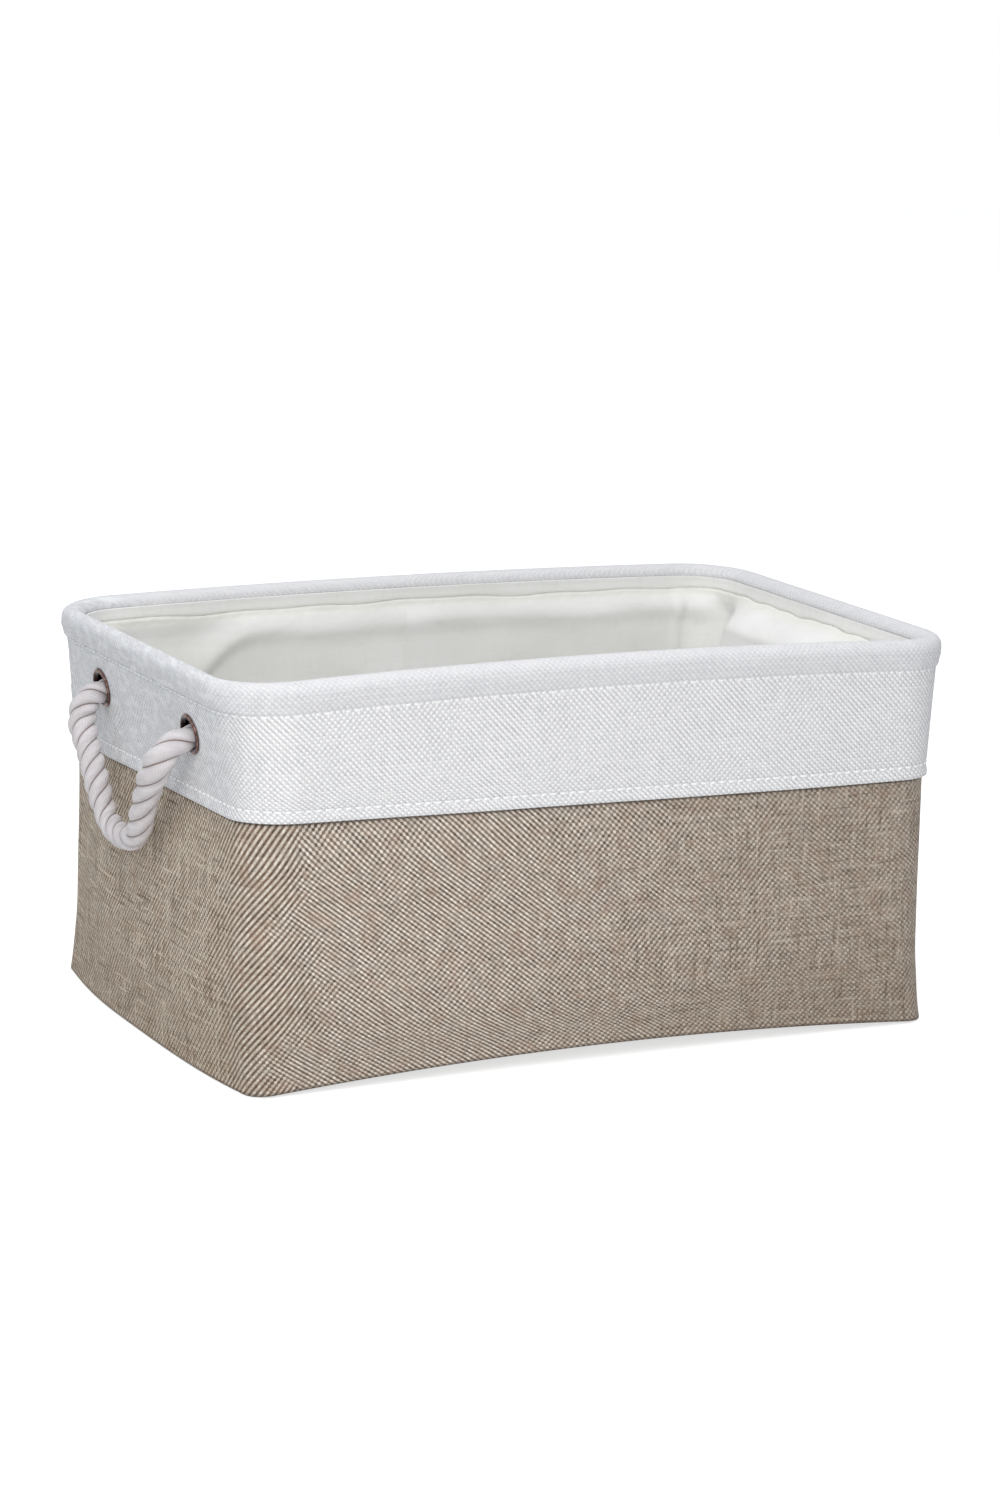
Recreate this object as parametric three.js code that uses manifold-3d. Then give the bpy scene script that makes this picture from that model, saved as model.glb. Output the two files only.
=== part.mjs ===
// Open fabric storage bin with a wired rim, a white band over a beige body and a rope handle at each end.
// Millimetres, +Z up. X runs along the length, Y along the depth, and the front is towards -Y.
// The origin is the middle of the base, on the surface that the bin stands on.
import * as THREE from 'three';
import { mergeVertices } from 'three/addons/utils/BufferGeometryUtils.js';
import Module from 'manifold-3d';

// Base of the fabric shell. Its long edges are drawn up off the floor and its ends swell outwards.
const base_length = 371;
const base_width = 254;
const base_corner = 12.5;
const base_edge_radius = 3;
const base_edge_turn_share = 0.5;
const base_arch = 7.5;
const base_arch_depth = 50;
const base_arch_fade = 34;
const end_belly = 6;

// The body above it, the seam under the white band and the rim, with how much longer and wider than the
// base each of them is
const body_height = 36;
const body_length_growth = -1.5;
const body_width_growth = 3;
const body_corner = 22;
const seam_height = 127;
const seam_length_growth = 2;
const seam_width_growth = 4.5;
const seam_corner = 24;
const seam_skew = 3.6;
const seam_skew_reach = 22;
const band_height = 68.5;
const rim_length_growth = 29;
const rim_width_growth = -4;
const rim_corner = 36;
const rim_rise_front = 4.8;
const rim_rise_back = 3;

// Sheets, from the outside in, and the running gap between touching pieces
const gap = 0.3;
const fabric_thickness = 1.5;
const stiffener_thickness = 1.6;
const base_stiffener_thickness = 2;
const lining_thickness = 0.9;
const seam_lap = 10;

// The lining hangs free of the walls from the hem, and swells inwards over the knots at each end
const lining_slack = 0.5;
const lining_ease = 8.5;
const swell_reach = 38;
const swell_crown = 10;
const swell_drop = 50.5;
const swell_fall = 33;
const swell_rise = 8.5;

// Rim
const wire_diameter = 4;
const wire_lift = 1.5;
const hem_drop = 16;
const hem_turn = 12;

// Eyelets and rope handles
const handle_shift = -3.5;
const eyelet_spacing = 116;
const eyelet_diameter = 20;
const eyelet_bore = 13.2;
const eyelet_wall = 0.6;
const eyelet_dome = 1.5;
const washer_thickness = 0.8;
const curl_width = 1.5;
const dome_lip_share = 0.8;
const rope_diameter = 10.2;
const rope_drop = 1.2;
const knot_diameter = 24;
const knot_length = 18;
const rope_tail = 10;

// Fineness of the facets
const corner_steps = 5;
const long_side_steps = 6;
const short_side_steps = 4;
const edge_steps = 2;
const round_steps = 16;
const arch_steps = 5;
const wire_steps = 6;
const rope_sides = 10;
const loop_steps = 18;
const pass_steps = 8;
const knot_steps = 6;
const swell_steps = 8;
const swell_columns = 5;
const search_steps = 400;
const merge_tolerance = 0.00001;
const cut_overrun = 2;

// Route of the rope's centre line from inside an eyelet to the bottom of the loop: how far each point
// lies out from the wall and below the eyelet's centre, and its distance from the handle's middle line
// as a share of the eyelet's own. The other leg mirrors it.
const rope_out_and_down = [
  [-5.5, 0.2],
  [-3.2, 0.6],
  [-0.2, 1.2],
  [2.7, 1.7],
  [5.9, 2.7],
  [8.8, 4.6],
  [11, 7.3],
  [12.2, 10.7],
  [12.5, 14.7],
  [12.5, 20.1],
  [12.4, 27],
  [12.1, 35],
  [11.7, 43],
  [11.3, 51.1],
  [10.9, 58.1],
  [10.7, 62.2],
  [10.6, 63.5],
];
const rope_side_shares = [
  1, 1, 1, 1, 1, 1, 0.997, 0.986, 0.955, 0.883, 0.776, 0.655, 0.534, 0.414, 0.284, 0.147, 0,
];

// How far below the eyelet's centre the rope has turned down: the loop below that swings
const rope_bend_drop = 11.5;

const wasm = await Module();
wasm.setup();

const bin = new THREE.Group();

const finish = (color, roughness, metalness = 0) =>
  new THREE.MeshStandardMaterial({ color, roughness, metalness });
const finishes = {
  linen: finish(0xa8937c, 0.95),
  white: finish(0xe6e8ea, 0.95),
  board: finish(0xcfcac0, 0.9),
  lining: finish(0xdddbd0, 0.9),
  steel: finish(0x9a9c9e, 0.4, 1),
  bronze: finish(0x5d4037, 0.35, 1),
  cotton: finish(0xe2dcd8, 0.95),
};

function add(name, geometry, material, group = bin) {
  const mesh = new THREE.Mesh(geometry, material);
  mesh.name = name;
  group.add(mesh);
  return mesh;
}

// The bin's plan at a height is a rounded rectangle. Stations give its outer size, which between them
// changes evenly. The lower stations hold the beige body, which lies one lap inside this envelope.
const lap = fabric_thickness + gap;
const body_length = base_length + body_length_growth;
const body_width = base_width + body_width_growth;
const seam_length = base_length + seam_length_growth;
const seam_width = base_width + seam_width_growth;
const rim_length = base_length + rim_length_growth;
const rim_width = base_width + rim_width_growth;
const rim_height = seam_height + band_height;
const hem_half = (wire_diameter + fabric_thickness + lining_thickness + 4 * gap) / 2;
const hem_outer_radius = hem_half + fabric_thickness;
const hem_centre_height = rim_height - hem_outer_radius;
const stations = [
  {
    z: 0,
    length: base_length + 2 * lap,
    width: base_width + 2 * lap,
    corner: base_corner + lap,
    belly: end_belly,
  },
  {
    z: body_height,
    length: body_length + 2 * lap,
    width: body_width + 2 * lap,
    corner: body_corner + lap,
    belly: end_belly * (1 - body_height / seam_height),
  },
  { z: seam_height, length: seam_length, width: seam_width, corner: seam_corner, belly: 0 },
  {
    z: hem_centre_height,
    length: rim_length - 2 * lap,
    width: rim_width - 2 * lap,
    corner: rim_corner - lap,
    belly: 0,
  },
];

function planAt(z) {
  const above = stations.findIndex((station, k) => k > 0 && z <= station.z);
  const top = above < 0 ? stations.length - 1 : above;
  const low = stations[top - 1];
  const high = stations[top];
  const t = (z - low.z) / (high.z - low.z);
  const mix = (key) => low[key] + (high[key] - low[key]) * t;
  return { a: mix('length') / 2, b: mix('width') / 2, r: mix('corner'), belly: mix('belly') };
}

// One loop of points round the plan at a height, set in by an inset. Every loop has the same points in
// the same order, so the facets of nested sheets lie side by side.
function loopAt(inset, z) {
  const { a, b, r, belly } = planAt(z);
  const points = [];
  const reach = b - r;
  const corner = Math.max(r - inset, gap);
  const cx = a - inset - corner;
  const cy = b - inset - corner;
  const corners = [[cx, -cy, -90], [cx, cy, 0], [-cx, cy, 90], [-cx, -cy, 180]];
  corners.forEach(([x, y, start], k) => {
    for (let i = 0; i <= corner_steps; i += 1) {
      const angle = THREE.MathUtils.degToRad(start + (90 * i) / corner_steps);
      points.push([x + corner * Math.cos(angle), y + corner * Math.sin(angle)]);
    }
    const [nx, ny] = corners[(k + 1) % corners.length];
    const from = points[points.length - 1];
    const to = [
      nx + corner * Math.cos(THREE.MathUtils.degToRad(start + 90)),
      ny + corner * Math.sin(THREE.MathUtils.degToRad(start + 90)),
    ];
    const steps = k % 2 === 0 ? short_side_steps : long_side_steps;
    for (let i = 1; i < steps; i += 1) {
      const t = i / steps;
      points.push([from[0] + (to[0] - from[0]) * t, from[1] + (to[1] - from[1]) * t]);
    }
  });
  return points.map(([x, y]) => {
    const out = belly * Math.max(0, 1 - (y / reach) ** 2) * smooth((Math.abs(x) - cx) / corner);
    return drape(x + Math.sign(x) * out, y, z);
  });
}

function smooth(t) {
  const c = Math.min(Math.max(t, 0), 1);
  return c * c * (3 - 2 * c);
}

// The cloth isn't dead straight: the long sides of the rim bow up, the long edges of the base are
// drawn up off the floor, and the band's lower edge runs a little askew at one end.
function drape(x, y, z) {
  const along = Math.max(0, 1 - (2 * x / rim_length) ** 2);
  const back_share = 0.5 + y / rim_width;
  const rise = along * (rim_rise_front * (1 - back_share) + rim_rise_back * back_share);
  const above = smooth((z - seam_height) / (hem_centre_height - seam_height));
  const near_edge = smooth((Math.abs(y) - (base_width / 2 - base_arch_depth)) / base_arch_depth);
  const arch = base_arch * Math.max(0, 1 - (2 * x / base_length) ** 2) * near_edge;
  const below = smooth(1 - z / base_arch_fade);
  const end_share = 0.5 - x / seam_length;
  const skew = seam_skew * end_share * (-2 * y / seam_width);
  const near_seam = smooth(1 - Math.abs(z - seam_height) / seam_skew_reach);
  return [x, y, z + rise * above + arch * below + skew * near_seam];
}

function closedMesh(vertices, faces) {
  let volume = 0;
  for (const [i, j, k] of faces) {
    const [p, q, r] = [vertices[i], vertices[j], vertices[k]];
    volume += p[0] * (q[1] * r[2] - q[2] * r[1]) + p[1] * (q[2] * r[0] - q[0] * r[2]);
    volume += p[2] * (q[0] * r[1] - q[1] * r[0]);
  }
  const index = faces.flatMap(([i, j, k]) => (volume > 0 ? [i, j, k] : [i, k, j]));
  const geometry = new THREE.BufferGeometry();
  geometry.setAttribute('position', new THREE.Float32BufferAttribute(vertices.flat(), 3));
  geometry.setIndex(index);
  geometry.computeVertexNormals();
  return geometry;
}

// A closed outline of inset and height, carried once round the bin
function hoop(outline, shaped = (loop) => loop) {
  const loops = outline.map(([inset, z]) => shaped(loopAt(inset, z)));
  const count = loops[0].length;
  const faces = [];
  for (let k = 0; k < loops.length; k += 1) {
    const after = (k + 1) % loops.length;
    const [from, to] = [k * count, after * count];
    const rising = outline[after][1] > outline[k][1];
    for (let i = 0; i < count; i += 1) {
      const j = (i + 1) % count;
      // Both faces of a sheet are cut along the same diagonal, so that sheets nest where they bulge
      const quad = rising
        ? [[from + i, from + j, to + j], [from + i, to + j, to + i]]
        : [[from + i, from + j, to + i], [from + j, to + j, to + i]];
      faces.push(...quad);
    }
  }
  return closedMesh(loops.flat(), faces);
}

// A standing sheet of one thickness: pairs of inset and height up its outer face
function sheet(outer, thickness, shaped) {
  const inner = outer.map(([inset, z]) => [inset + thickness, z]).reverse();
  return hoop([...outer, ...inner], shaped);
}

// A lying sheet of one thickness that fills the plan inside an inset. Its inner rings are the same on
// every such sheet, so that they nest.
const panel_ring_shares = [0.16, 0.4];
function panel(inset, bottom, thickness) {
  const { a, b } = planAt(0);
  const plan = loopAt(0, 0);
  const drawnIn = (share) => plan.map(([x, y]) => [x * (1 - (share * b) / a), y * (1 - share)]);
  const rings = [loopAt(inset, bottom), ...panel_ring_shares.map(drawnIn)];
  const count = plan.length;
  const vertices = [];
  for (const z of [bottom, bottom + thickness]) {
    vertices.push(...rings.flatMap((ring) => ring.map(([x, y]) => drape(x, y, z))), drape(0, 0, z));
  }
  const layer = vertices.length / 2;
  const faces = [];
  for (let i = 0; i < count; i += 1) {
    const j = (i + 1) % count;
    for (const [start, flip] of [[0, true], [layer, false]]) {
      const put = (p, q, r) => faces.push(flip ? [p, r, q] : [p, q, r]);
      for (let k = 0; k < rings.length - 1; k += 1) {
        const outer = start + k * count;
        const inner = outer + count;
        put(outer + i, outer + j, inner + j);
        put(outer + i, inner + j, inner + i);
      }
      const last = start + (rings.length - 1) * count;
      put(last + i, last + j, start + layer - 1);
    }
    faces.push([i, layer + j, layer + i]);
    faces.push([i, j, layer + j]);
  }
  return closedMesh(vertices, faces);
}

// Manifold solids, for the holes that the eyelets pass through
function solidOf(geometry) {
  const plain = new THREE.BufferGeometry();
  plain.setAttribute('position', geometry.getAttribute('position').clone());
  if (geometry.index) {
    plain.setIndex(geometry.index.clone());
  }
  const merged = mergeVertices(plain, merge_tolerance);
  return new wasm.Manifold(new wasm.Mesh({
    numProp: 3,
    vertProperties: new Float32Array(merged.getAttribute('position').array),
    triVerts: new Uint32Array(merged.index.array),
  }));
}

function geometryOf(solid) {
  const mesh = solid.getMesh();
  const geometry = new THREE.BufferGeometry();
  geometry.setAttribute('position', new THREE.BufferAttribute(new Float32Array(mesh.vertProperties), 3));
  geometry.setIndex(new THREE.BufferAttribute(new Uint32Array(mesh.triVerts), 1));
  geometry.computeVertexNormals();
  return geometry;
}

// The eyelets sit midway up the free part of the band, between the lap's ease and the hem
const lap_top = seam_height + seam_lap;
const hem_outer_bottom = rim_height - hem_drop;
const eyelet_height = (lap_top + lining_ease + hem_outer_bottom) / 2;

// Where an eyelet sits on the end wall: a point on the band's outer face, and the frame whose Z runs
// straight out of the wall and whose X points up it.
function seatOnWall(side, leg) {
  const y = handle_shift + (leg * eyelet_spacing) / 2;
  const low = planAt(eyelet_height - eyelet_diameter / 2);
  const high = planAt(eyelet_height + eyelet_diameter / 2);
  const up = new THREE.Vector3(side * (high.a - low.a), 0, eyelet_diameter).normalize();
  const out = new THREE.Vector3(0, 1, 0).cross(up).multiplyScalar(side);
  const across = out.clone().cross(up);
  const matrix = new THREE.Matrix4().makeBasis(up, across, out);
  matrix.setPosition(side * planAt(eyelet_height).a, y, eyelet_height);
  return matrix;
}
const ends = [['left', -1], ['right', 1]];
const legs = [['front', -1], ['back', 1]];
const seats = ends.flatMap(([, side]) => legs.map(([, leg]) => seatOnWall(side, leg)));

const bore_radius = eyelet_bore / 2;
const barrel_radius = bore_radius + eyelet_wall;
const hole_radius = barrel_radius + gap;
const stack = fabric_thickness + stiffener_thickness + gap;

function pierced(geometry) {
  const length = 2 * (stack + cut_overrun);
  return geometryOf(seats.reduce((solid, seat) => {
    const drill = new THREE.CylinderGeometry(hole_radius, hole_radius, length, round_steps);
    drill.rotateX(Math.PI / 2);
    drill.applyMatrix4(seat);
    return solid.subtract(solidOf(drill));
  }, solidOf(geometry)));
}

// Insets of the layers
const stiffener_inset = lap;
const lower_stiffener_inset = lap + lap;
const lining_low_inset = lower_stiffener_inset + stiffener_thickness + gap + lining_slack;
const lining_high_inset = stiffener_inset + stiffener_thickness + gap + lining_slack;
const wire_inset = lap + wire_diameter / 2;
const lining_rim_inset = lap + wire_diameter + gap;
const hem_inset = hem_half - gap;
const wire_height = hem_centre_height + wire_lift;
const wire_bottom = wire_height - wire_diameter / 2;
const hem_inner_bottom = rim_height - hem_turn;

// Heights of the layers of the floor
const base_stiffener_bottom = fabric_thickness + gap;
const lining_floor_bottom = base_stiffener_bottom + base_stiffener_thickness + gap;

// Floor: the beige bottom panel, the board on it and the lining over that
const base_turn = base_edge_radius * base_edge_turn_share;
add(
  'bottom_panel',
  panel(lap + base_turn + fabric_thickness + gap, 0, fabric_thickness),
  finishes.linen,
);
add(
  'base_stiffener',
  panel(lining_low_inset, base_stiffener_bottom, base_stiffener_thickness),
  finishes.board,
);
add(
  'lining_floor',
  panel(lining_low_inset + lining_thickness + gap, lining_floor_bottom, lining_thickness),
  finishes.lining,
);

// Walls below the band: the beige strip, its stiffening sheet and the lining, which runs to the rim
const edge_stations = Array.from({ length: edge_steps + 1 }, (_, k) => {
  const t = k / edge_steps;
  return [lap + base_turn * (1 - t) ** 2, base_edge_radius * t];
});
const wall_levels = [base_arch_fade / 2, body_height, seam_height, lap_top];
add(
  'lower_wall',
  sheet([...edge_stations, ...wall_levels.map((z) => [lap, z])], fabric_thickness),
  finishes.linen,
);
add(
  'lower_stiffener',
  sheet(
    [base_edge_radius + gap, ...wall_levels].map((z) => [lower_stiffener_inset, z]),
    stiffener_thickness,
  ),
  finishes.board,
);

// Between the knots' level and the hem the lining has rows of its own, and its ends have columns between
// the shell's, so that it can swell
const barrel_end = -(stack + gap + washer_thickness + gap);
const knot_start = barrel_end - eyelet_wall - gap;
const swell_depth = knot_length - knot_start + gap - lining_high_inset;
const swell_bottom = eyelet_height - swell_drop;
const lining_path = [
  [lining_low_inset, lining_floor_bottom],
  [lining_low_inset, lap_top],
  [lining_high_inset, lap_top + lining_ease],
  [lining_high_inset, hem_inner_bottom - lining_ease],
  [lining_rim_inset, hem_inner_bottom],
  [lining_rim_inset, hem_centre_height],
];

function liningInset(z) {
  const k = Math.max(1, lining_path.findIndex(([, height]) => z <= height));
  const [[low_inset, low], [high_inset, high]] = [lining_path[k - 1], lining_path[k]];
  return low_inset + ((high_inset - low_inset) * (z - low)) / (high - low);
}

function swollen(loop) {
  const finer = loop.flatMap((point, k) => {
    const next = loop[(k + 1) % loop.length];
    const along_end = Math.abs(next[0] - point[0]) < Math.abs(next[1] - point[1])
      && Math.abs(next[1] - point[1]) > swell_reach / 2;
    const parts = along_end ? swell_columns : 1;
    return Array.from({ length: parts }, (_, i) => point.map((p, j) => p + ((next[j] - p) * i) / parts));
  });
  return finer.map(([x, y, z]) => {
    const aside = Math.min(...legs.map(([, leg]) => Math.abs(y - handle_shift - (leg * eyelet_spacing) / 2)));
    const across = smooth((swell_reach - aside) / (swell_reach - swell_crown));
    const up = smooth((z - swell_bottom) / swell_fall) * smooth((hem_inner_bottom - z) / swell_rise);
    return [x - Math.sign(x) * swell_depth * across * up, y, z];
  });
}
const lining_levels = [
  lining_floor_bottom,
  ...wall_levels.filter((z) => z < swell_bottom),
  ...Array.from({ length: swell_steps + 1 }, (_, k) =>
    swell_bottom + ((hem_inner_bottom - swell_bottom) * k) / swell_steps),
  hem_centre_height,
];
add(
  'lining_wall',
  sheet(lining_levels.map((z) => [liningInset(z), z]), lining_thickness, swollen),
  finishes.lining,
);

// Walls above the seam: the white band and its stiffening sheet, which stops under the wire
const band_levels = [seam_height + seam_skew_reach, hem_outer_bottom];
add(
  'upper_band',
  pierced(sheet(
    [seam_height, ...band_levels, hem_centre_height].map((z) => [0, z]),
    fabric_thickness,
  )),
  finishes.white,
);
add(
  'upper_stiffener',
  pierced(sheet(
    [lap_top + gap, ...band_levels, wire_bottom - gap].map((z) => [stiffener_inset, z]),
    stiffener_thickness,
  )),
  finishes.board,
);

// Rim: a steel wire hoop in a white hem that is folded over it and sewn through
const ring = (inset, z, radius, steps, from, to) =>
  Array.from({ length: steps + 1 }, (_, k) => {
    const angle = THREE.MathUtils.degToRad(from + ((to - from) * k) / steps);
    return [inset + radius * Math.cos(angle), z + radius * Math.sin(angle)];
  });
add(
  'rim_wire',
  hoop(ring(wire_inset, wire_height, wire_diameter / 2, wire_steps, 0, 360).slice(1)),
  finishes.steel,
);
add(
  'rim_hem',
  hoop([
    [hem_inset - hem_outer_radius, hem_outer_bottom],
    ...ring(hem_inset, hem_centre_height, hem_outer_radius, arch_steps, 180, 0),
    [hem_inset + hem_outer_radius, hem_inner_bottom],
    [hem_inset + hem_half, hem_inner_bottom],
    ...ring(hem_inset, hem_centre_height, hem_half, arch_steps, 0, 180),
    [hem_inset - hem_half, hem_outer_bottom],
  ]),
  finishes.white,
);

// Eyelets: a domed flange outside, a barrel through the wall and a curled end over an inner washer
const flange_radius = eyelet_diameter / 2;
function eyelet() {
  const outline = [
    [bore_radius, barrel_end - eyelet_wall],
    [barrel_radius + curl_width, barrel_end - eyelet_wall],
    [barrel_radius + curl_width, barrel_end],
    [barrel_radius, barrel_end],
    [barrel_radius, gap],
    [flange_radius, gap],
    [flange_radius, gap + eyelet_wall],
    [(flange_radius + bore_radius) / 2, gap + eyelet_dome],
    [bore_radius + eyelet_wall / 2, gap + eyelet_dome * dome_lip_share],
    [bore_radius, gap + eyelet_wall],
    [bore_radius, barrel_end - eyelet_wall],
  ];
  return lathed(outline);
}

function washer() {
  const outline = [
    [hole_radius, -stack - gap - washer_thickness],
    [flange_radius, -stack - gap - washer_thickness],
    [flange_radius, -stack - gap],
    [hole_radius, -stack - gap],
    [hole_radius, -stack - gap - washer_thickness],
  ];
  return lathed(outline);
}

// A lathe turns about Y, and the seats look out along Z
function lathed(outline) {
  const shape = new THREE.LatheGeometry(outline.map(([r, h]) => new THREE.Vector2(r, h)), round_steps);
  shape.rotateX(Math.PI / 2);
  return geometryOf(solidOf(shape));
}

// Rope: a fixed piece through each eyelet with a knot inside, and the loop that swings
const rope_radius = rope_diameter / 2;
function ropeLine(side) {
  const wall = planAt(eyelet_height).a;
  const leg = (sign) => rope_out_and_down.map(([out, down], k) => new THREE.Vector3(
    side * (wall + out),
    handle_shift + (sign * rope_side_shares[k] * eyelet_spacing) / 2,
    eyelet_height - down,
  ));
  return new THREE.CatmullRomCurve3([...leg(1), ...leg(-1).reverse().slice(1)]);
}

function ropeBetween(line, from, to, steps) {
  const stretch = new THREE.Curve();
  stretch.getPoint = (t) => line.getPointAt(from + (to - from) * t);
  const section = new THREE.Shape(Array.from({ length: rope_sides }, (_, k) => {
    const angle = (2 * Math.PI * k) / rope_sides;
    return new THREE.Vector2(rope_radius * Math.cos(angle), rope_radius * Math.sin(angle));
  }));
  return geometryOf(solidOf(new THREE.ExtrudeGeometry(section, { steps, extrudePath: stretch })));
}

// How far along the line, as a share, the first leg comes down to a height
function shareAtHeight(line, height) {
  const shares = Array.from({ length: search_steps }, (_, k) => k / search_steps);
  return shares.find((share) => line.getPointAt(share).z < height);
}

// The knot is pressed between the wall and the lining, and the cut end of the rope hangs down from it
function knot() {
  const half = knot_length / 2;
  const outline = [
    [0, knot_start - knot_length],
    ...Array.from({ length: knot_steps - 1 }, (_, k) => {
      const angle = Math.PI * (1 - (k + 1) / knot_steps);
      return [(knot_diameter / 2) * Math.sin(angle), knot_start - half + half * Math.cos(angle)];
    }),
    [rope_radius, knot_start],
    [0, knot_start],
  ];
  const reach = knot_diameter / 2 + rope_tail;
  const tail = new THREE.CylinderGeometry(rope_radius, rope_radius, reach, rope_sides);
  tail.rotateZ(Math.PI / 2);
  tail.translate(-reach / 2, 0, knot_start - half);
  return geometryOf(solidOf(lathed(outline)).add(solidOf(tail)));
}

ends.forEach(([end, side]) => {
  const line = ropeLine(side);
  const length = line.getLength();
  const bend = shareAtHeight(line, eyelet_height - rope_bend_drop);
  const face = gap / 2 / length;
  const start = gap / length;
  const loop = ropeBetween(line, bend + face, 1 - bend - face, loop_steps);
  add(`${end}_handle_rope`, loop, finishes.cotton);
  legs.forEach(([place, leg]) => {
    const [from, to] = leg > 0 ? [start, bend - face] : [1 - bend + face, 1 - start];
    add(`${end}_${place}_rope_pass`, ropeBetween(line, from, to, pass_steps), finishes.cotton);
    const seat = seatOnWall(side, leg);
    const pieces = [
      [`${end}_${place}_eyelet`, eyelet(), finishes.bronze],
      [`${end}_${place}_washer`, washer(), finishes.bronze],
      [`${end}_${place}_knot`, knot().translate(-rope_drop, 0, 0), finishes.cotton],
    ];
    for (const [name, geometry, material] of pieces) {
      const holder = new THREE.Group();
      holder.applyMatrix4(seat);
      bin.add(holder);
      add(name, geometry, material, holder);
    }
  });
});

export default bin;
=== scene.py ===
import math

import bpy
import numpy as np
from mathutils import Matrix, Vector


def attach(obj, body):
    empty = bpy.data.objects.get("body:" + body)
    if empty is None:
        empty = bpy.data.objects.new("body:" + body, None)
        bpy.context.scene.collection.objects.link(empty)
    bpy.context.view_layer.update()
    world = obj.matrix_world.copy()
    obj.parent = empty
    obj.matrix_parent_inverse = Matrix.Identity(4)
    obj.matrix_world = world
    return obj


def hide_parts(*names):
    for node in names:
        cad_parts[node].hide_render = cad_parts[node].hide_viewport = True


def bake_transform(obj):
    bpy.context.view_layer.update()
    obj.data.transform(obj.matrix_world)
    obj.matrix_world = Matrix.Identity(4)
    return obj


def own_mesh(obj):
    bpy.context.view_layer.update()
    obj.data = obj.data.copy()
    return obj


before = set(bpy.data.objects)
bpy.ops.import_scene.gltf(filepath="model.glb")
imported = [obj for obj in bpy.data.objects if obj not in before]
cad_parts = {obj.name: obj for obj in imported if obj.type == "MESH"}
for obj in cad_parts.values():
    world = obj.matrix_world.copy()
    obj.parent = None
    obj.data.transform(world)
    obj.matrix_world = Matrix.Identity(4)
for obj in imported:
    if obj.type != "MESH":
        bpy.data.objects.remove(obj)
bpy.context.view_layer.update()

bpy.ops.object.select_all(action="DESELECT")
scene = bpy.context.scene

# Camera: a long lens, a little above the rim, that looks at the front and the left end with a slight
# roll. Its place was fitted to the bin's outline in the photograph.
camera_azimuth = math.radians(-26.77)
camera_elevation = math.radians(12.28)
camera_roll = math.radians(1.65)
camera_distance = 2.0871
camera_aim = Vector((0.0235, 0.0431, 0.1174))
back = Vector((
    math.sin(camera_azimuth) * math.cos(camera_elevation),
    -math.cos(camera_azimuth) * math.cos(camera_elevation),
    math.sin(camera_elevation),
))
right = Vector((0, 0, 1)).cross(back).normalized()
up = back.cross(right)
rolled_right = right * math.cos(camera_roll) + up * math.sin(camera_roll)
rolled_up = up * math.cos(camera_roll) - right * math.sin(camera_roll)
bpy.ops.object.camera_add(location=camera_aim + back * camera_distance)
camera = bpy.context.object
camera.rotation_mode = "QUATERNION"
camera.rotation_quaternion = Matrix((rolled_right, rolled_up, back)).transposed().to_quaternion()
camera.data.lens = 96
camera.data.sensor_width = 36
camera.data.clip_end = 30
scene.camera = camera

# Rope handles: one length of soft three-strand cotton rope at each end, laid to the right. It comes out
# of one eyelet, turns down over the flange, hangs in a loop and goes back in at the other eyelet.
# Sizes here and below are in millimetres.
ends = (("left", -1), ("right", 1))
handle_shift = -3.5
eyelet_spacing = 116
eyelet_height = 162.5
wall_at_eyelets = 193.07
# A leg's route is out from the wall and down from the eyelet's centre, with its distance from the
# handle's middle as a share of the eyelet's. The front leg stands out further.
back_leg = [
    (-5.5, 0.1, 1), (-3.2, 0.5, 1), (-0.4, 1.2, 1), (2.5, 2.2, 1), (5.3, 3.6, 1), (7.7, 5.7, 1),
    (9.5, 8.5, 0.998), (10.6, 11.9, 0.99), (11.3, 15.7, 0.965), (12, 20.6, 0.895), (12.4, 27.3, 0.793),
    (12.3, 35, 0.68), (11.8, 43, 0.575), (11.3, 51.1, 0.48), (10.9, 57.9, 0.38), (10.8, 61.5, 0.23),
    (10.7, 62.6, 0.03),
]
front_leg = [
    (-5.5, 0.1, 1), (-3.2, 0.5, 1), (-0.4, 1.2, 1), (2.6, 2.1, 1), (6, 3.5, 0.997), (9.4, 5.6, 0.99),
    (12.3, 8.5, 0.975), (14.3, 12.1, 0.945), (15.3, 16.2, 0.905), (15.7, 21, 0.84), (15.5, 27.7, 0.745),
    (14.9, 35.2, 0.645), (13.8, 43.2, 0.545), (12.7, 51.3, 0.44), (11.6, 57.8, 0.315), (11, 61.3, 0.16),
    (10.7, 62.6, -0.03),
]
strand_offset = 1.95
strand_radius = 3.85
bore_fullness, hanging_fullness = 1.02, 1.12
back_lay, front_lay = 25, 39
rope_sides = 42
millimetre = 0.001


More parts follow.
